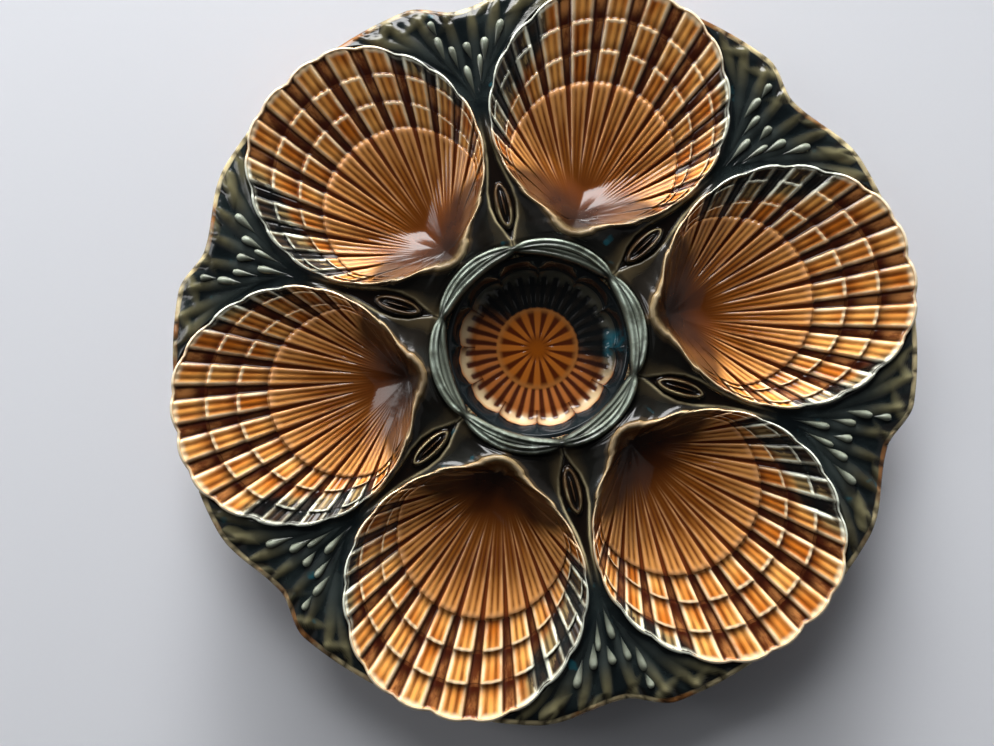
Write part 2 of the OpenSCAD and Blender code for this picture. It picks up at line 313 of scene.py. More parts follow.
def shell_surface(column, row):
    """One shell from its apex out to the rim, over the rim and back under the bowl to the apex."""
    phi = shell_turn(column)
    turn = np.degrees(np.abs(phi))
    zone, part = zone_and_part(row, zone_rows)
    phase = np.abs(phi / rib_pitch - np.round(phi / rib_pitch))
    fan = 1 - passed(turn, *rib_end_turns)
    rim_wave = rim_scallop * (1 - np.sin(math.pi * phase)) * fan
    level = 1 + 0.6 * rim_wave / shell_reach(phi) + 0.003 * np.sin(math.pi * phase) * fan
    bounds = [0]
    for i in range(len(step_shares)):
        step = step_share(i, phi) * level
        bounds = bounds + [step, step + step_run_share]
    bounds = stacked(bounds + [1, 1, 1, 0], phi)
    pick = np.arange(len(phi))
    share = mix(bounds[zone, pick], bounds[zone + 1, pick], part)
    front = zone < rim_zone
    is_step = front & (zone % 2 == 1)

    # Hinge: its walls are smooth, so the ribs fade out towards them
    lip = mix(lip_at_fan, lip_at_hinge, passed(turn, *broad_lip_turns))
    lip = lip - lip_less_at_tip * passed(turn, *tip_lip_turns)
    smooth_reach = shell_reach(phi) + lip * (math.sin(roll_start) - 1)
    wall_up = bowl_flow(phi, share, smooth_reach)[1]
    tip_away = np.hypot(hinge_len + share * smooth_reach * np.cos(phi), share * smooth_reach * np.sin(phi))
    near_tip = 1 - passed(tip_away, *hinge_zone)
    ribbed = 1 - passed(wall_up * near_tip, 0.1, 0.5)

    # Ribs: a gap between two ribs, and two fine furrows down each rib
    band = np.minimum(zone // 2, 3)
    inner = passed(share, 0.2, 0.6)
    gap = np.choose(band, gap_shares)
    gap = np.where(band == 0, mix(apex_gap_share, gap, inner), gap)
    groove = (1 - passed(phase, gap - 0.035, gap + 0.065)) * fan
    across = clamp((phase - gap) / (0.5 - gap))
    furrow = np.exp(-(((across - furrow_share) / furrow_w_share) ** 2)) * (1 - groove) * fan
    side_crest = (1 - passed(across, *crest_shares)) * (1 - groove) * fan
    low_rib = (1 - passed(phase, gap - 0.1, gap - 0.01)) * np.choose(band, low_rib_shares) * fan
    fade_in = passed(share, 0.15, 0.4) * (1 - passed(turn, *weak_rib_turns) * 0.4) * ribbed
    steps = 1 - passed(turn, *step_end_turns)
    rise = np.select([zone == 0, is_step, zone < outer_band, zone == outer_band],
                     [part**1.4, 1 - part, part, 0.6 * part], 0)
    depth = np.where(band == 0, mix(0.35, 0.8, inner), 1.0)
    relief = step_depth * rise * steps * (1 - 0.9 * groove) * np.where(band == 0, inner, 1)
    relief = relief - rib_depth * depth * (groove - 0.45 * low_rib) * fade_in
    relief = relief - furrow_depth * furrow * fade_in

    # Rim: rolled over from the bowl to the outer wall, broad at the hinge and thin round the fan
    reach = shell_reach(phi) - rim_wave
    roll = np.where(zone == rim_zone, mix(roll_start, math.pi / 2, part), math.pi / 2)
    edge = shell_edge_h(phi)
    inner_reach = reach + lip * (math.sin(roll_start) - 1)
    inner_edge = edge - lip * (1 - math.cos(roll_start))
    flow = bowl_flow(phi, share, inner_reach)[0]
    distance = np.where(front, share * inner_reach, reach + lip * (np.sin(roll) - 1))
    from_rim = reach - distance
    fold = near_tip * np.exp(-(((from_rim - fold_inset) / fold_w) ** 2))
    fold = fold * passed(turn, *fold_start_turns) * (1 - passed(turn, *fold_end_turns))
    top = mix(web_h + shell_lip + hinge_rise * 0.8, inner_edge, passed(share, 0, 0.5))
    height = mix(bowl_floor, top, flow) + relief - fold_depth * fold
    end_relief = (-rib_depth * groove * 0.7 + step_depth * 0.6 * steps) * (1 - part)
    height = np.where(zone == rim_zone, edge - lip * (1 - np.cos(roll)) + end_relief, height)

    # Back: straight down outside the rim, then flush with the dish
    back_share = np.where(zone == back_zone, share, 1)
    far = back_share * (shell_reach(phi) - rim_wave * back_share**6)
    r = plate_r(phi, far)
    thick = wall * mix(1.6, mix(1, 2.2, passed(turn, *thick_wall_turns)), passed(back_share, 0, 0.5))
    back_flow = bowl_flow(phi, back_share, shell_reach(phi), back_corner_round)[0]
    bulge = np.maximum(foot_h, mix(bowl_floor, edge, back_flow) - thick)
    back = mix(bulge, ground(r) - wall, smooth((back_share - 0.6) / 0.4))
    back = mix(back, foot_h, foot_seat(r))
    height = np.where(zone == wall_zone, mix(edge - lip, back, part), height)
    height = np.where(zone == back_zone, back, height)
    distance = np.where(zone >= wall_zone, far, distance)

    # Marks for the glaze
    band_end = np.select([is_step, zone == 0, zone < outer_band, zone == outer_band],
                         [0, passed(part, 0.95, 0.99), passed(part, 0.84, 0.97), passed(part, 0.75, 1)], 0)
    end_crest = band_end * (1 - groove * np.where(zone == outer_band, 0.5, 1)) * steps
    foot = np.select([is_step, front & (zone > 0)], [part, 1 - passed(part, 0, 0.42)], 0) * steps
    crown_w = mix(0.8, 1.1, passed(turn, *broad_crown_turns))
    crown = np.exp(-(((roll - 0.2) / crown_w) ** 2)) * (zone == rim_zone)
    out = np.where(front, share, 1)
    lap = passed(out, 0.7, 0.98) * passed(turn, *lap_start_turns) * (1 - passed(turn, *lap_end_turns))
    short_lap = 0.6 * lap * passed(out, 0.86, 1) * (1 - passed(turn, *short_lap_end_turns))
    lap = np.where(phi > 0, lap, short_lap)
    points = (apex_r + distance * np.cos(phi), distance * np.sin(phi), height)
    marks = {"side_crest": side_crest * front * fade_in, "end_crest": end_crest, "lip": crown,
             "groove": groove * fade_in * (zone <= rim_zone), "low_rib": low_rib * front, "foot": foot,
             "streak": furrow * front * fade_in, "lap": lap * (zone <= rim_zone), "out": out,
             "rib_turn": phi / rib_pitch, "band": band / 3, "band_part": part,
             "wall_up": wall_up * near_tip * front, "tip": 1 - passed(tip_away, *tip_shade),
             "ridge": near_tip * np.exp(-(((reach - distance) / ridge_w) ** 2)), "fold": fold,
             "under": (zone >= wall_zone) * 1.0}
    return points, marks


class Wire:
    """A socket in a material. Sums and products of wires add Math nodes; node adds a node of any kind."""

    def __init__(self, tree, socket=None):
        self.tree = tree
        self.socket = socket

    def node(self, kind, settings, inputs, output=0):
        added = self.tree.nodes.new(kind)
        for key, value in settings.items():
            setattr(added, key, value)
        for key, value in inputs.items():
            if isinstance(value, Wire):
                self.tree.links.new(value.socket, added.inputs[key])
            else:
                added.inputs[key].default_value = value
        return Wire(self.tree, added.outputs[output])

    def math(self, operation, *terms):
        return self.node("ShaderNodeMath", {"operation": operation}, dict(enumerate(terms)))

    def __add__(self, other):
        return self.math("ADD", self, other)

    def __sub__(self, other):
        return self.math("SUBTRACT", self, other)

    def __rsub__(self, other):
        return self.math("SUBTRACT", other, self)

    def __mul__(self, other):
        return self.math("MULTIPLY", self, other)

    def larger(self, other):
        return self.math("MAXIMUM", self, other)

    def between(self, low, high):
        return self.node("ShaderNodeMapRange", {"interpolation_type": "SMOOTHSTEP"},
                         {"Value": self, "From Min": low, "From Max": high})

    def blend(self, a, b):
        return self.node("ShaderNodeMix", {"data_type": "RGBA"}, {0: self, 6: a, 7: b}, 2)

    def noise(self, scale, detail=3, roughness=0.5):
        return self.node("ShaderNodeTexNoise", {},
                         {"Vector": self, "Scale": scale, "Detail": detail, "Roughness": roughness})

    def stretched(self, scale):
        return self.node("ShaderNodeMapping", {}, {"Vector": self, "Scale": scale})

    def along_axis(self, axis):
        return self.node("ShaderNodeSeparateXYZ", {}, {"Vector": self}, axis)

    __radd__ = __add__
    __rmul__ = __mul__


def srgb(red, green, blue):
    """A colour as it is seen on a screen, made linear for a material."""
    shares = [channel / 255 for channel in (red, green, blue)]
    linear = [s / 12.92 if s <= 0.04045 else ((s + 0.055) / 1.055) ** 2.4 for s in shares]
    return (*linear, 1)


def new_material(name):
    """A material with its first wire and its Object coordinates."""
    material = bpy.data.materials.new(name)
    material.use_nodes = True
    tree = material.node_tree
    tree.nodes.clear()
    start = Wire(tree)
    place = start.node("ShaderNodeTexCoord", {}, {}, "Object")
    return material, start, place


def mark(start, name):
    """The value that the piece's mesh carries under this name."""
    return start.node("ShaderNodeAttribute", {"attribute_name": name}, {}, "Fac")


def finish(start, inputs):
    """Ends a material in one surface shader."""
    shader = start.node("ShaderNodeBsdfPrincipled", {}, inputs)
    output = start.tree.nodes.new("ShaderNodeOutputMaterial")
    start.tree.links.new(shader.socket, output.inputs["Surface"])


glaze_grain = 0.00008


def finish_glaze(start, colour, height, roughness, depth=glaze_grain):
    """Glossy fired glaze: the colour and a fine bump of its surface."""
    bump = start.node("ShaderNodeBump", {}, {"Strength": 1.0, "Distance": depth, "Height": height})
    finish(start, {"Base Color": colour, "Roughness": roughness, "Normal": bump})


def caramel(cloud):
    """The glaze of the plate's back."""
    return cloud.between(0.35, 0.7).blend(srgb(186, 122, 62), srgb(150, 88, 40))


shell_glaze, start, place = new_material("shell_glaze")
side_crest = mark(start, "side_crest")
end_crest = mark(start, "end_crest")
lip = mark(start, "lip")
groove = mark(start, "groove")
low_rib = mark(start, "low_rib")
foot = mark(start, "foot")
streak = mark(start, "streak")
lap = mark(start, "lap")
out = mark(start, "out")
rib_turn = mark(start, "rib_turn")
band = mark(start, "band")
band_part = mark(start, "band_part")
wall_up = mark(start, "wall_up")
ridge = mark(start, "ridge")
tip = mark(start, "tip")
fold = mark(start, "fold")
under = mark(start, "under")
x_place = place.along_axis("X")
grain = start.node("ShaderNodeCombineXYZ", {}, {"X": rib_turn * 2.6, "Y": out * 7, "Z": x_place * 40})
brush = grain.noise(1.0, 4, 0.6)
tile = start.node("ShaderNodeCombineXYZ", {}, {"X": rib_turn * 0.9, "Y": out * 5, "Z": x_place * 12})
tile = tile.noise(1.0, 1)
cloud = place.noise(60, 4, 0.6)
patchy = place.noise(28, 3, 0.55)
inside = 1 - band.between(0.0, 0.2)
amber = tile.between(0.35, 0.65).blend(srgb(230, 162, 82), srgb(184, 102, 30))
fan_amber = cloud.between(0.3, 0.7).blend(srgb(150, 88, 26), srgb(128, 70, 16))
fan_amber = out.between(0.36, 0.62).blend(fan_amber, srgb(208, 144, 76))
amber = inside.blend(amber, fan_amber)
# Darker towards the apex: painted shade at the bottom of the bowl
amber = out.between(0.42, 0.12).blend(amber, srgb(92, 46, 14))
colour = (streak * (0.5 + brush.between(0.3, 0.65) * 0.5)).blend(amber, srgb(94, 40, 10))
crest_colour = inside.blend(srgb(228, 202, 162), srgb(208, 150, 96))
crest = (side_crest * (0.4 + brush.between(0.65, 0.35) * 0.6)).larger(end_crest * (0.5 + 0.5 * brush))
colour = crest.between(0.0, 0.9).blend(colour, crest_colour)
low_colour = brush.between(0.4, 0.62).blend(srgb(92, 46, 22), srgb(170, 112, 62))
gap_colour = (low_rib * band_part.between(0.1, 0.8)).blend(srgb(50, 18, 8), low_colour)
gap_colour = inside.blend(gap_colour, srgb(104, 48, 20))
colour = (groove.between(0.1, 0.9) * (1 - band.between(0.9, 1) * lip)).blend(colour, gap_colour)
# Darker at the foot of each growth step: glaze pooled there, and painted shade under the step
colour = (foot * (0.35 + 0.5 * brush) * (1 - inside * 0.5)).blend(colour, srgb(60, 22, 8))
# Painted shade: dark brown on the smooth inner walls of the hinge
wall_shade_colour = cloud.between(0.35, 0.65).blend(srgb(72, 40, 20), srgb(44, 22, 12))
colour = (wall_up.between(0.08, 0.5) * 0.92).blend(colour, wall_shade_colour)
# Painted shade by the hinge's tip: near black there, and it dims the ridge and the cream rim near the tip
colour = (tip * 0.95).blend(colour, srgb(22, 9, 4))
ridge_colour = cloud.between(0.3, 0.7).blend(srgb(150, 134, 98), srgb(108, 86, 56))
colour = (ridge.between(0.1, 0.95) * (0.9 - tip * 0.25)).blend(colour, ridge_colour)
colour = (fold * 0.7).blend(colour, srgb(30, 14, 8))
rim_cream = lip * (1 - groove * 0.3) * (1 - ridge * 0.55) * (1 - tip * 0.35)
colour = rim_cream.between(0.2, 0.8).blend(colour, srgb(222, 206, 174))
spread = (lap * 1.1 + patchy * 0.6 + brush * 0.5 - 0.55).between(0.25, 0.6)
shut = (lap * 0.6 + brush * 1.5 - 0.75).between(0.35, 0.5)
dark_lap = groove.between(0.1, 0.6).larger(streak * 0.9).larger(foot)
dark_lap = dark_lap.blend(srgb(150, 128, 84), srgb(13, 17, 18))
dark_lap = crest.between(0.05, 0.7).blend(dark_lap, srgb(222, 224, 204))
dark_lap = (shut * (1 - crest * 0.8)).blend(dark_lap, srgb(22, 28, 28))
dark_lap = rim_cream.between(0.3, 0.9).blend(dark_lap, srgb(206, 212, 198))
colour = (spread * 0.95).blend(colour, dark_lap)
colour = under.between(0.4, 0.6).blend(colour, caramel(cloud))
grain_height = brush * 0.6 * out.between(0.15, 0.5) + place.noise(180, 3, 0.5)
finish_glaze(start, colour, grain_height, cloud * 0.12 + 0.08)

shell = sheet("shell", shell_columns, shell_rows, shell_surface)
shell.data.materials.append(shell_glaze)
for i, piece in enumerate(turned_copies(shell, "scallop_shell", shells, first_turn)):
    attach(piece, "root")
    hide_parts(f"shell_well_{i + 1}")

# Dish
# The ground between the shells, pressed in one with them: a wavy rim, hollow webs and low leaves of seaweed
# under green-black glaze, olive on the leaves and cream on the rim. Its back is caramel.
notch_depth = 0.0055
dish_lap = 0.0059
dish_inner_r = kelp_r - dish_lap
web_columns = 76
top_rows = 168
roll_rows = 6
back_rows = 28
# The last rows go up from the back to the first row, under the kelp ring
closing_rows = 4
web_rows = top_rows + roll_rows + back_rows + closing_rows
rim_roll = 0.0014
rim_drop = 0.0004
under_shell = 0.0008
hub_r = 0.066
hub_end = 0.082
drawn_up_w = 0.0012
drawn_up_h = 0.0006
shelf_h = 0.0005
shelf_gap = 0.0013
recess_depth = 0.0006
recess_step_in = 0.0005
recess_step_out = 0.0003
fold_line_w = 0.0004
kelp_lap_in = 0.0016
kelp_lap_out = 0.0004
closed_from = 0.0006
nose_r = apex_r - float(shell_reach(np.array([math.pi]))[0])
nose_share = (nose_r - dish_inner_r) / (rim_r - dish_inner_r)
outline_points = 1801
outline_turns = np.linspace(math.pi, 0, outline_points)
outline_r = plate_r(outline_turns, shell_reach(outline_turns))
outline_angle = np.arctan2(shell_reach(outline_turns) * np.sin(outline_turns),
                           apex_r + shell_reach(outline_turns) * np.cos(outline_turns))
outline_order = np.argsort(outline_r)


def shell_half_angle(r):
    """Half the angle that a shell takes up at this distance from the plate's middle."""
    return np.interp(r, outline_r[outline_order], outline_angle[outline_order], left=0, right=0)


def stroke(x, y, tail, head, width):
    """Height share of one frond or leaf laid on the ground: pointed at its tail, full near its head."""
    run = (head[0] - tail[0], head[1] - tail[1])
    length = math.hypot(*run)
    along = ((x - tail[0]) * run[0] + (y - tail[1]) * run[1]) / length**2
    aside = ((x - tail[0]) * -run[1] + (y - tail[1]) * run[0]) / length
    full = np.sqrt(np.maximum(np.sin(math.pi * clamp(along) ** frond_fullness), 0)) * width / 2
    return clamp(1 - (aside / np.maximum(full, 1e-5)) ** 2) * ((along > 0) & (along < 1)), along


def polar(share, degrees):
    """A point at this share of the rim's radius and this angle from the middle of the gap."""
    turn = math.radians(degrees)
    return (share * rim_r * math.cos(turn), share * rim_r * math.sin(turn))


frond_w = 0.01
frond_fullness = 1.4
frond_h = 0.0006
leaf_h = 0.0005
cut_depth = 0.0005
# Fronds of seaweed in one gap: tail and head, each as a share of the rim's radius and an angle in degrees,
# and the width as a share of frond_w
frond_shares = (
    ((0.7, 0.6), (0.99, 2.2), 0.52),
    ((0.74, 1.6), (0.985, 7), 0.56),
    ((0.78, 3), (1.0, 12), 0.6),
    ((0.72, -0.8), (0.97, -2.4), 0.54),
    ((0.74, -1.8), (0.98, -7), 0.6),
    ((0.78, -3.4), (1.0, -12), 0.64),
    ((0.84, -7), (1.005, -17), 0.6),
    ((0.86, 6.5), (1.0, 16.5), 0.5),
    ((0.9, 4.4), (0.985, -0.6), 0.44),
)
# Leaves folded over the rim, written the same way
leaf_shares = (
    ((0.925, -8), (0.99, -13.5), 0.62),
    ((0.93, -2.5), (0.985, -6), 0.5),
    ((0.94, 10), (0.99, 4.6), 0.56),
    ((0.95, 15), (0.99, 10.8), 0.5),
)
# Angles in degrees at which a short cut crosses the rim
notch_turns = (-19, -16.2, -12.4, -9.6, -5.8, -2.6, 0.6, 3.4, 6.2, 8.4, 12.6, 15.4)
cut_half_turn = 0.42
# The rim is pulled in between two shells, over this many degrees on its steep and on its gentle side
steep_turn = 8
gentle_turn = 14
cut_start_share = 0.935
cut_stagger_share = 0.012
cut_full_share = 0.975
# Recess round a bud: shares of its length from its inner end, each with half its width there as a share
recess_start = 0.0364
recess_len = 0.04
recess_w = 0.01
recess_shares = (
    (0, 0.02),
    (0.09, 0.16),
    (0.19, 0.34),
    (0.315, 0.43),
    (0.44, 0.39),
    (0.565, 0.26),
    (0.69, 0.15),
    (0.84, 0.09),
)
recess_r = [recess_start + recess_len * along for along, aside in recess_shares]
recess_half_w = [recess_w * aside for along, aside in recess_shares]


def raised(x, y, strokes, power, low):
    """Height share of the tallest of these strokes at each point, lower towards their tails."""
    tallest = 0 * x
    for tail, head, width in strokes:
        body, along = stroke(x, y, polar(*tail), polar(*head), width * frond_w)
        tallest = np.maximum(tallest, body**power * (low + (1 - low) * clamp(along)))
    return tallest


def web_surface(column, row):
    """One sixth of the dish: its top from the kelp ring to the rim, the rolled rim and the back."""
    across = column / web_columns * 2 - 1
    top = row <= top_rows
    rolling = (row > top_rows) & (row <= top_rows + roll_rows)
    closing = row > web_rows - closing_rows
    under = (row > top_rows + roll_rows) & ~closing
    back_share = clamp(1 - (row - top_rows - roll_rows) / back_rows) ** 1.6
    share = np.select([top, rolling, under], [(row / top_rows) ** 1.25, 1, back_share], 0)
    # One row of the top and one of the back run through the hinges' tips
    share = np.where(np.abs(share - nose_share) < np.where(under, 0.012, 0.0025), nose_share, share)
    r_nominal = mix(dish_inner_r, rim_r, share)
    half = sector / 2 - shell_half_angle(r_nominal)
    slip = np.where(r_nominal > nose_r, under_shell / r_nominal, 0)
    theta = across * (half + slip)
    degrees = np.degrees(theta)

    # Rim: pulled in between the shells, more steeply on one side
    limit = np.where(degrees > 0, steep_turn, gentle_turn)
    notch = 0.5 + 0.5 * np.cos(math.pi * np.minimum(1, np.abs(degrees) / limit))
    pull = notch_depth * notch * passed(share, 0.72, 1) * (1 - np.abs(across) ** 8)
    r = r_nominal - pull
    x = r * np.cos(theta)
    y = r * np.sin(theta)

    # Ground: drawn up a little along the shells' sides. Near the hinges it has a sunk recess with a shelf
    # that rises to their edges.
    to_shell = (1 - np.abs(across)) * half * r
    near_hinge = 1 - passed(r, hub_r, hub_end)
    drawn_up = np.exp(-to_shell / drawn_up_w)
    aside = np.abs(theta) * r
    recess_half = np.interp(r, recess_r, recess_half_w)
    sunk = 1 - passed(aside, recess_half - recess_step_in, recess_half + recess_step_out)
    up_shelf = clamp((aside - recess_half) / np.maximum(half * r - recess_half, fold_line_w))
    shelf = shelf_h + (edge_over(r) - shelf_gap) * up_shelf**1.8
    lift = mix(drawn_up * drawn_up_h, mix(shelf, -recess_depth, sunk), near_hinge)
    lift = lift * passed(r, kelp_r - kelp_lap_in, kelp_r + kelp_lap_out)
    cut_line = np.exp(-(((aside - recess_half - recess_step_out) / fold_line_w) ** 2)) * near_hinge

    # Seaweed and the cuts across the rim
    frond = raised(x, y, frond_shares, 1.5, 0.25)
    leaf = raised(x, y, leaf_shares, 1, 0.3)
    cut = 0 * x
    for k, turn in enumerate(notch_turns):
        slant = (-1) ** k * 0.8 + 0.5
        across_cut = degrees - turn - slant * (1 - share) * 25
        start_share = cut_start_share + cut_stagger_share * (k % 3)
        one_cut = np.exp(-((across_cut / cut_half_turn) ** 2)) * passed(share, start_share, cut_full_share)
        cut = np.maximum(cut, one_cut)
    rim_line = passed(share, 0.983, 0.997) * (row <= top_rows + 2)
    height = ground(r_nominal) + lift + frond_h * frond + leaf_h * leaf - cut_depth * cut
    height = height - rim_drop * passed(share, 0.97, 1)

    # Rolled edge, then the back, then up to the first row again
    roll = clamp((row - top_rows) / roll_rows) * math.pi
    middle = ground(r_nominal) - wall / 2
    height = np.where(rolling, middle + (wall / 2 - rim_drop) * np.cos(roll), height)
    bulge = np.where(rolling, rim_roll * np.sin(roll), 0)
    x = x + bulge * np.cos(theta)
    y = y + bulge * np.sin(theta)
    back = mix(ground(r_nominal) - wall, foot_h, foot_seat(r_nominal))
    height = np.where(under, back, height)
    closing_part = (row - web_rows) / closing_rows + 1
    height = np.where(closing, mix(ground(r_nominal) - wall, ground(r_nominal), closing_part), height)
    at_side = (np.abs(across) > 0.999) & (r_nominal > tip_r + closed_from)
    height = np.where(at_side, ground(r_nominal) - wall / 2, height)
    marks = {"leaf": leaf * top, "frond": frond * top, "rim_line": rim_line * (top | rolling),
             "cut": cut * (top | rolling), "out": share, "under": (under | closing) * 1.0, "hub": near_hinge,
             "sunk": sunk * near_hinge, "cut_line": cut_line, "shelf_up": up_shelf}
    return (x, y, height), marks


ground_glaze, start, place = new_material("ground_glaze")
leaf = mark(start, "leaf")
frond = mark(start, "frond")
cut = mark(start, "cut")
far = mark(start, "out")
rim_line = mark(start, "rim_line")
hub = mark(start, "hub")
under = mark(start, "under")
sunk = mark(start, "sunk")
cut_line = mark(start, "cut_line")
shelf_up = mark(start, "shelf_up")
cloud = place.noise(70, 4, 0.6)
patchy = place.noise(45, 4, 0.65)
spot = place.noise(150, 2, 0.5)
colour = cloud.between(0.4, 0.7).blend(srgb(13, 19, 21), srgb(32, 39, 39))
shelf_colour = shelf_up.between(0.05, 0.4).blend(srgb(70, 60, 42), srgb(24, 21, 17))
shelf_colour = shelf_up.between(0.85, 1).blend(shelf_colour, srgb(72, 58, 40))
shelf_colour = (patchy.between(0.45, 0.65) * 0.6).blend(shelf_colour, srgb(30, 32, 30))
colour = hub.blend(colour, shelf_colour)
colour = (cut_line * (0.12 + 0.75 * patchy.between(0.42, 0.62))).blend(colour, srgb(186, 172, 134))
colour = sunk.blend(colour, srgb(22, 15, 11))
olive = patchy.between(0.4, 0.65).blend(srgb(112, 106, 76), srgb(66, 60, 40))
frond_colour = far.between(0.82, 0.96).blend(srgb(62, 68, 65), olive)
colour = (frond.between(0.05, 0.9) * (0.3 + 0.6 * cloud)).blend(colour, frond_colour)
colour = (leaf.between(0.05, 0.9) * (0.4 + 0.5 * cloud)).blend(colour, srgb(118, 112, 82))
teal = spot.between(0.64, 0.74) * patchy.between(0.5, 0.6)
colour = (teal * 0.7).blend(colour, srgb(24, 86, 98))
rim_colour = patchy.between(0.45, 0.6).blend(srgb(196, 180, 138), srgb(140, 92, 48))
colour = (rim_line.between(0.3, 1) * (0.5 + 0.5 * cloud.between(0.35, 0.6))).blend(colour, rim_colour)
colour = (cut * 0.9).blend(colour, srgb(22, 18, 14))
colour = under.between(0.4, 0.6).blend(colour, caramel(cloud))
grain_height = place.noise(900, 2, 0.5) * 0.3 + place.noise(160, 3, 0.5)
finish_glaze(start, colour, grain_height, cloud * 0.12 + 0.08)

web = sheet("web", web_columns, web_rows, web_surface)
web.data.materials.append(ground_glaze)
first_gap = first_turn + sector / 2


def joined(pieces):
    """These pieces as one."""
    bpy.ops.object.select_all(action="DESELECT")
    for piece in pieces:
        piece.select_set(True)
    bpy.context.view_layer.objects.active = pieces[0]
    bpy.ops.object.join()
    return bpy.context.object


dish = joined(turned_copies(web, "web", shells, first_gap))
dish.name = "dish_ground"
close(dish)
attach(dish, "root")
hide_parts("dish_body")

# Foot ring
# A plain turned ring under the plate, thrown in one with it, on which the whole plate stands. Caramel glaze,
# wiped bare along its lower edge.
foot_round = 0.0012
foot_columns = 192
bare_h = 0.0006
bare_end = 0.0012
bare_wander = 0.0008
foot_inner_r = foot_r - foot_w
# The ring's section: down its inner side, round both lower edges, up its outer side and back
foot_section = [(foot_inner_r, foot_h)]
for middle, first_angle in ((foot_inner_r + foot_round, 180), (foot_r - foot_round, 270)):
    for k in range(7):
        angle = math.radians(first_angle + 15 * k)
        foot_section.append((middle + foot_round * math.cos(angle), foot_round * (1 + math.sin(angle))))
foot_section = foot_section + [(foot_r, foot_h), (foot_r - foot_w / 2, foot_h), (foot_inner_r, foot_h)]
foot_section = np.array(foot_section)


def foot_surface(column, row):
    theta = column / foot_columns * 2 * math.pi
    radius = foot_section[row, 0]
    return (radius * np.cos(theta), radius * np.sin(theta), foot_section[row, 1]), {}


foot_glaze, start, place = new_material("foot_glaze")
cloud = place.noise(60, 4, 0.6)
height_z = place.along_axis("Z")
bare = 1 - (height_z + cloud * bare_wander).between(bare_h, bare_end)
colour = bare.blend(caramel(cloud), srgb(222, 206, 180))
finish_glaze(start, colour, place.noise(600, 3, 0.5), bare * 0.5 + 0.15)
foot = sheet("foot_ring_base", foot_columns, len(foot_section) - 1, foot_surface)
foot.data.materials.append(foot_glaze)
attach(foot, "root")
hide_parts("foot_ring")

# Central well
# The sauce well in the middle: a star floor, a ribbed band, a ring of petals and a smooth dark wall.
# One casting with the plate; amber on the floor, cream on the petals' tips, green-black on the wall.
kelp_w = 0.0071
well_lip = 0.0012
petal_share = 0.905
band_share = 0.715
star_share = 0.462
mouth_r = kelp_r - kelp_w
well_r = mouth_r + well_lip
petal_r = petal_share * mouth_r
band_r = band_share * mouth_r
star_r = star_share * mouth_r
well_columns = 480
petals = 12
rays = 16
petal_rise = 0.0028
petal_round = 0.0018
band_rise = 0.0016
well_edge = 0.0006
floor_relief = 0.0007
star_edge = 0.0007
# Rows of the mesh in each zone: the star, its edge, the ribbed band, its edge, the petals, their edge, the
# wall, its edge, the lip, the outer side and the bottom
well_zone_rows = (22, 3, 14, 3, 18, 4, 18, 4, 3, 3, 6)
petal_zone = 4
outer_zone = 9
petal_end_row = sum(well_zone_rows[:petal_zone + 1])
wall_start_row = petal_end_row + well_zone_rows[petal_zone + 1]


def well_surface(column, row):
    theta = column / well_columns * 2 * math.pi
    zone, part = zone_and_part(row, well_zone_rows)
    pick = np.arange(len(theta))
    ray_wave = 0.5 + 0.5 * np.cos(theta * rays)
    ray = passed(ray_wave, mix(0, 0.15, part), mix(0.3, 0.9, part))
    rib = passed(0.5 + 0.5 * np.cos(theta * petals * 3), 0.15, 0.9)
    petal = np.abs(np.sin(theta * petals / 2)) ** 0.45
    tip = petal_r - (1 - petal) * petal_round
    bounds = (0, star_r, star_r + star_edge, band_r - well_edge, band_r, tip, tip + well_edge,
              mouth_r - well_edge, mouth_r, well_r, well_r, 0)
    radii = stacked(bounds, theta)
    radius = mix(radii[zone, pick], radii[zone + 1, pick], part)

    # Height in each zone
    band_low = bowl_floor + floor_relief * 0.3
    band_top = bowl_floor + band_rise
    petal_top = band_top + petal_rise
    star_fade = passed(part, 0.12, 0.4)
    star_z = bowl_floor + floor_relief * (0.3 + 0.15 * ray * star_fade)
    star_edge_z = mix(star_z, band_low, part)
    swell = floor_relief * np.sin(math.pi * part)
    band_z = mix(band_low, band_top, part) + swell * 0.3 * rib
    petal_rib = mix(rib, 1, passed(part + 0.16 * rib, 0.6, 0.76))
    petal_z = band_top + petal_rise * part**2.8 + swell * 0.5 * petal
    petal_z = petal_z - floor_relief * 0.3 * (1 - petal_rib) * passed(part, 0, 0.2)
    wall_z = mix(petal_top, web_h - well_edge, part**0.8)
    lip_z = mix(web_h - well_edge, web_h, part)
    side_z = mix(web_h, foot_h, part)
    heights = (star_z, star_edge_z, band_z, band_top, petal_z, petal_top, wall_z, lip_z, web_h, side_z,
               foot_h)
    height = stacked(heights, theta)[zone, pick]

    # Marks for the glaze
    on_petal = zone == petal_zone
    petal_mark = petal * passed(part, 0.12, 0.62) * petal_rib * (1 - 0.6 * passed(part, 0.86, 1))
    marks = {"star": np.where(zone == 1, 1 - part, zone == 0),
             "ray": np.where(zone == 0, ray * star_fade, ray),
             "rib": np.where(on_petal, petal_rib * petal, rib), "petal": on_petal * petal_mark,
             "wall_mark": passed(row, petal_end_row, wall_start_row), "under": (zone >= outer_zone) * 1.0}
    return (radius * np.cos(theta), radius * np.sin(theta), height), marks


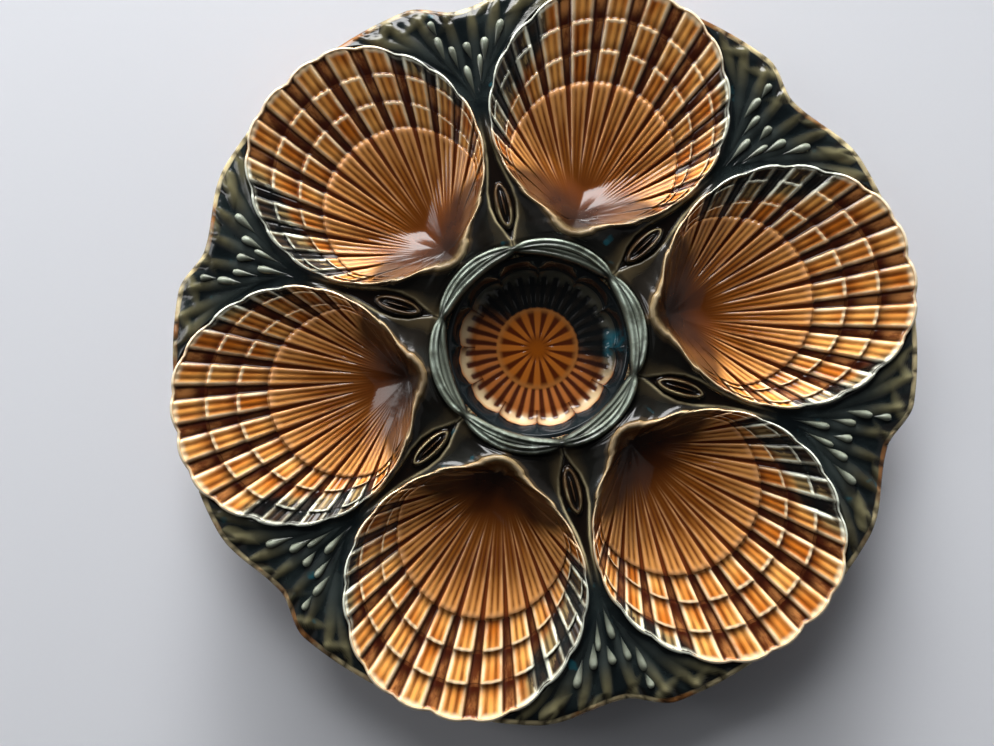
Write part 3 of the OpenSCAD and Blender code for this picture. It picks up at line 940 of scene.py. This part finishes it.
well_glaze, start, place = new_material("well_glaze")
star = mark(start, "star")
ray = mark(start, "ray")
rib = mark(start, "rib")
petal = mark(start, "petal")
wall_mark = mark(start, "wall_mark")
under = mark(start, "under")
cloud = place.noise(90, 4, 0.6)
radius = place.node("ShaderNodeVectorMath", {"operation": "LENGTH"}, {0: place.stretched((1, 1, 0))}, "Value")
apart = place.along_axis("X")
upward = place.along_axis("Y")
# Green-black towards the upper (+Y) side of the well, less on the star: partly its dark glaze and partly
# painted shade
flow = (apart * 0.4 + upward * 0.9 + cloud * 0.009 - 0.0045).between(-0.0025, 0.0075)
colour = rib.blend(srgb(70, 30, 14), srgb(176, 104, 50))
floor_colour = ray.blend(srgb(82, 32, 6), srgb(174, 98, 32))
floor_colour = radius.between(0.006, 0.0015).blend(floor_colour, srgb(140, 72, 12))
floor_colour = radius.between(0.0115, 0.0138).blend(floor_colour, srgb(170, 108, 52))
colour = star.blend(colour, floor_colour)
colour = (petal * (0.55 + 0.45 * cloud)).blend(colour, srgb(216, 198, 156))
dark = (petal * 0.75).blend(srgb(18, 20, 21), srgb(92, 92, 78))
dark = (rib * 0.35).blend(dark, srgb(44, 38, 32))
colour = (flow * (1 - star * 0.8)).blend(colour, dark)
colour = wall_mark.between(0.2, 0.9).blend(colour, srgb(20, 25, 27))
teal = apart.between(0.0215, 0.024) * (1 - upward.between(0.004, 0.0075)) * upward.between(-0.004, -0.001)
colour = (teal * cloud.between(0.35, 0.6) * 0.8).blend(colour, srgb(20, 92, 108))
colour = under.between(0.4, 0.6).blend(colour, caramel(cloud))
finish_glaze(start, colour, place.noise(300, 3, 0.5), 0.1, 0.00006)
well = sheet("sauce_well", well_columns, sum(well_zone_rows), well_surface)
well.data.materials.append(well_glaze)
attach(well, "root")
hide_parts("centre_well")

# Kelp ring
# Two strands of kelp twisted into a ring round the well, pressed in relief. Pale grey-green glaze,
# dark in the creases. The strands cross half way between the shells.
strand_w = 0.0042
kelp_h = 0.0044
kelp_mid_r = (kelp_r + mouth_r) / 2
strand_swing = (kelp_w - strand_w) / 2
crossing_share = 0.22
crossing_w_share = 0.72
crossing_h_share = 0.66
inner_h_share = 0.9
inner_less_share = 0.14
trough_share = 0.2
kelp_columns = 540
kelp_points = 40
kelp_rows = kelp_points + 4


def kelp_surface(column, row):
    """The twist seen from above, closed below by a flat base on the ground."""
    theta = column / kelp_columns * 2 * math.pi
    swing = np.sin((theta - first_turn - sector / 2) * shells / 2)
    pinch = np.exp(-((swing / crossing_share) ** 2))
    strand = strand_w * mix(1, crossing_w_share, pinch)
    half = strand / 2 + strand_swing * np.abs(swing)
    share = clamp(row / kelp_points)
    r = kelp_mid_r + mix(-half, half, share)
    outer_at = (r - kelp_mid_r - strand_swing * swing) / (strand / 2)
    inner_at = (r - kelp_mid_r + strand_swing * swing) / (strand / 2)
    inner_top = mix(inner_h_share - inner_less_share * swing, crossing_h_share, pinch)
    outer = np.sqrt(np.maximum(0, 1 - outer_at**2)) * mix(1, crossing_w_share, pinch)
    inner = np.sqrt(np.maximum(0, 1 - inner_at**2)) * inner_top
    blade = np.where(outer > inner, outer_at, inner_at)
    trough = np.exp(-(((blade - 0.12 * np.sin(theta * 3)) / 0.3) ** 2)) * (1 - pinch)
    body = np.maximum(np.maximum(outer, inner) * (1 - trough_share * trough), 0.06)
    crease = np.maximum(1 - passed(np.abs(outer - inner), 0.02, 0.24), np.exp(-((swing / 0.06) ** 2)))
    crease = np.maximum(crease, 0.75 * trough)
    height = web_h + kelp_h * np.minimum(body, 1.02)
    below = row > kelp_points
    last = np.where(row >= kelp_points + 3, 0, np.where(row == kelp_points + 1, 1, 0.5))
    r = np.where(below, kelp_mid_r + mix(-half, half, last), r)
    height = np.where(below, web_h, height)
    marks = {"crease": crease * ~below, "body": np.maximum(outer, inner) * ~below}
    return (r * np.cos(theta), r * np.sin(theta), height), marks


kelp_glaze, start, place = new_material("kelp_glaze")
crease = mark(start, "crease")
body = mark(start, "body")
cloud = place.noise(120, 4, 0.6)
streak = place.noise(260, 3, 0.6)
colour = body.between(0.35, 0.8).blend(srgb(18, 22, 22), srgb(104, 110, 98))
colour = (body.between(0.7, 0.95) * cloud.between(0.4, 0.6)).blend(colour, srgb(166, 178, 164))
colour = (crease * 0.9).blend(colour, srgb(30, 33, 28))
colour = (streak.between(0.5, 0.68) * 0.4).blend(colour, srgb(54, 54, 40))
# Painted shade, in patches, on the ring's lower (-Y) side
upward = place.along_axis("Y")
colour = (upward.between(-0.02, -0.034) * cloud.between(0.62, 0.4) * 0.6).blend(colour, srgb(20, 22, 19))
finish_glaze(start, colour, place.noise(400, 3, 0.5), 0.16, 0.0001)
kelp = sheet("kelp_ring_twist", kelp_columns, kelp_rows, kelp_surface)
kelp.data.materials.append(kelp_glaze)
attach(kelp, "root")
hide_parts("kelp_ring")

# Leaf buds
# A long bud between each two hinges, folded twice along its length. Dark green-brown glaze,
# cream along the folds. Pressed on to the ground.
pod_len = 0.017
pod_w = 0.0066
pod_h = 0.0026
pod_gap = 0.0036
pod_sink = 0.0001
pod_top_share = 0.8
fold_share = 0.3
pod_start = kelp_r + pod_gap
pod_columns = 36
pod_rows = 40


def pod_surface(column, row):
    """A bud's folded top and, in the columns on both sides, its flat base."""
    along = row / pod_rows
    across = column / pod_columns * 2 - 1
    body = 1 - np.abs(across)
    top = np.abs(across) < pod_top_share
    side = clamp(np.abs(across) / pod_top_share) * np.sign(across)
    width = np.sqrt(np.maximum(np.sin(math.pi * along), 0)) * pod_w / 2
    aside = np.where(top, side * width, np.sign(across) * width * clamp(body / 0.2))
    loop = np.hypot(side, np.abs(along * 2 - 1) ** 3)
    folds = 1 - fold_share + fold_share * np.cos((loop - 0.62) * 2.7 * math.pi)
    full = np.sqrt(np.maximum(0, 1 - side**2)) * np.sin(math.pi * along) ** 0.6
    up = np.where(top, pod_h * folds * full, 0)
    x = pod_start + along * pod_len
    return (x, aside, ground(np.hypot(x, aside)) + up - pod_sink), {"fold": folds * top}


bud_glaze, start, place = new_material("bud_glaze")
fold = mark(start, "fold")
cloud = place.noise(150, 4, 0.6)
colour = fold.between(0.5, 0.95).blend(srgb(16, 11, 8), srgb(74, 52, 32))
broken = place.noise(85, 2, 0.5).between(0.46, 0.6)
colour = (fold.between(0.84, 1) * (0.08 + 0.85 * broken)).blend(colour, srgb(176, 164, 126))
finish_glaze(start, colour, place.noise(400, 3, 0.5), 0.14)
pod = sheet("bud", pod_columns, pod_rows, pod_surface)
pod.data.materials.append(bud_glaze)
for i, piece in enumerate(turned_copies(pod, "leaf_bud", shells, first_gap)):
    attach(piece, "root")
    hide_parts(f"pod_{i + 1}")

# Seaweed drops
# Small raised drops of seaweed on the ground between two shells, each pointed towards the middle of the
# plate. Pressed in relief; grey-green glaze, thin and pale on top.
drop_len = 0.007
drop_w = 0.0026
drop_h = 0.0012
drop_sink = 0.0005
tail_share = 1.4
drop_columns = 20
drop_rows = 24
# For each drop: its angle in the gap and its slant, both in degrees, the place of its head as a share of the
# rim's radius, and its length and width as shares of drop_len and drop_w
drop_shares = (
    (0.8, 4, 0.805, 1.3, 1.0),
    (2.6, 4, 0.868, 1.0, 0.95),
    (4.6, 3, 0.905, 1.2, 1.1),
    (4.9, 10, 0.952, 0.7, 1.0),
    (-0.2, 8, 0.868, 0.8, 1.1),
    (-2.4, -8, 0.828, 1.2, 0.8),
    (-3.9, -10, 0.872, 1.1, 1.15),
    (-7.3, -20, 0.914, 1.2, 1.15),
)


def drop_on_ground(angle, slant, head_share, length_share, width_share):
    """One drop: pointed at its tail, round at its head, with its lower side in the ground."""
    head = np.array(polar(head_share, angle))
    slope = math.radians(angle + slant)
    tail = head - tail_share * length_share * drop_len * np.array((math.cos(slope), math.sin(slope)))

    def surface(column, row):
        along = row / drop_rows
        turn = column / drop_columns * 2 * math.pi
        full = np.sqrt(np.maximum(np.sin(math.pi * along**2.2), 0)) * (0.25 + 0.75 * along) * 1.25
        full = full * width_share * drop_w / 2
        run = head - tail
        aside = np.array((-run[1], run[0])) / np.linalg.norm(run)
        x = tail[0] + run[0] * along + aside[0] * full * np.cos(turn)
        y = tail[1] + run[1] * along + aside[1] * full * np.cos(turn)
        up = np.where(np.sin(turn) > 0, drop_h, drop_sink) * np.sin(turn) * full / (drop_w / 2)
        return (x, y, ground(np.hypot(x, y)) + up), {"top": np.maximum(np.sin(turn), 0), "along": along}

    return sheet("drop", drop_columns, drop_rows, surface)


drop_glaze, start, place = new_material("drop_glaze")
top = mark(start, "top")
along = mark(start, "along")
cloud = place.noise(150, 4, 0.6)
colour = (top.between(0.15, 0.85) * along.between(0.1, 0.8)).blend(srgb(30, 36, 36), srgb(112, 116, 102))
pale = top.between(0.7, 1) * along.between(0.55, 0.85) * cloud.between(0.4, 0.6)
colour = (pale * 0.7).blend(colour, srgb(158, 166, 150))
finish_glaze(start, colour, place.noise(400, 3, 0.5), 0.14)
drop_group = joined([drop_on_ground(*drop) for drop in drop_shares])
drop_group.data.materials.append(drop_glaze)
for i, piece in enumerate(turned_copies(drop_group, "seaweed_drops", shells, first_gap)):
    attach(piece, "root")
    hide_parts(f"kelp_sprig_{i + 1}")

# Table, light and camera
# A plain pale table top, a window and a low soft light on the plate's far side, and soft light from all
# round. The camera looks down on the plate, turned and tilted a little as in the photograph.
bpy.ops.object.select_all(action="DESELECT")
bpy.ops.mesh.primitive_plane_add(size=4, location=(0, 0, 0))
table_top = bpy.context.object
table_top.name = "table_top"
table_finish, start, place = new_material("table_finish")
shade = place.noise(3, 3, 0.5).blend(srgb(204, 206, 211), srgb(194, 196, 202))
finish(start, {"Base Color": shade, "Roughness": 0.7})
table_top.data.materials.append(table_finish)

neutral = (1.0, 1.0, 1.0)
warm = (1.0, 0.99, 0.98)
plate_middle = Vector((0, 0, 0.02))


def add_light(name, size_x, size_y, power, place, tint):
    """A rectangular lamp in metres and watts, aimed at the middle of the plate."""
    data = bpy.data.lights.new(name, "AREA")
    data.shape = "RECTANGLE"
    data.size = size_x
    data.size_y = size_y
    data.energy = power
    data.color = tint
    lamp = bpy.data.objects.new(name, data)
    bpy.context.collection.objects.link(lamp)
    lamp.location = place
    lamp.rotation_euler = (plate_middle - Vector(place)).to_track_quat("-Z", "Y").to_euler()
    return lamp


add_light("window", 0.8, 0.5, 13.5, (-0.2, 1.0, 0.62), neutral)
add_light("side_window", 0.3, 0.7, 2.2, (-1.0, 0.3, 0.6), neutral)
add_light("left_wall", 1.8, 1.4, 1.2, (-1.4, -0.1, 1.3), warm)
add_light("right_wall", 2.4, 1.4, 1.4, (1.5, -0.3, 1.2), warm)
# The low light models the bowls, and leaves no reflection of its own
low_window = add_light("low_window", 3.4, 0.45, 30, (-0.15, 2.4, 0.37), neutral)
low_window.visible_glossy = False
low_window.visible_camera = False
low_window.data.spread = math.radians(35)
world = bpy.data.worlds.new("room")
bpy.context.scene.world = world
world.use_nodes = True
room = Wire(world.node_tree)
way = room.node("ShaderNodeTexCoord", {}, {}, "Generated")
up = way.along_axis("Z")
away = way.along_axis("Y")
background = world.node_tree.nodes["Background"]
background.inputs["Color"].default_value = (0.92, 0.95, 1.0, 1)
glow = up.between(0.95, 0.1) * away.between(-0.6, 0.7) * 0.26 + 0.03
world.node_tree.links.new(glow.socket, background.inputs["Strength"])

# The camera is turned by the length of camera_turn, in radians, about its direction
camera_place = (-0.0034, -0.02077, 0.26488)
camera_turn = Vector((0.04806, 0.04002, 0.00872))
camera_data = bpy.data.cameras.new("camera")
camera_data.sensor_width = 36
camera_data.lens = 27.16
camera_data.clip_start = 0.01
camera = bpy.data.objects.new("camera", camera_data)
bpy.context.collection.objects.link(camera)
camera.rotation_mode = "QUATERNION"
camera.rotation_quaternion = Quaternion(camera_turn.normalized(), camera_turn.length)
camera.location = camera_place
bpy.context.scene.camera = camera
bpy.context.scene.view_settings.view_transform = "Standard"
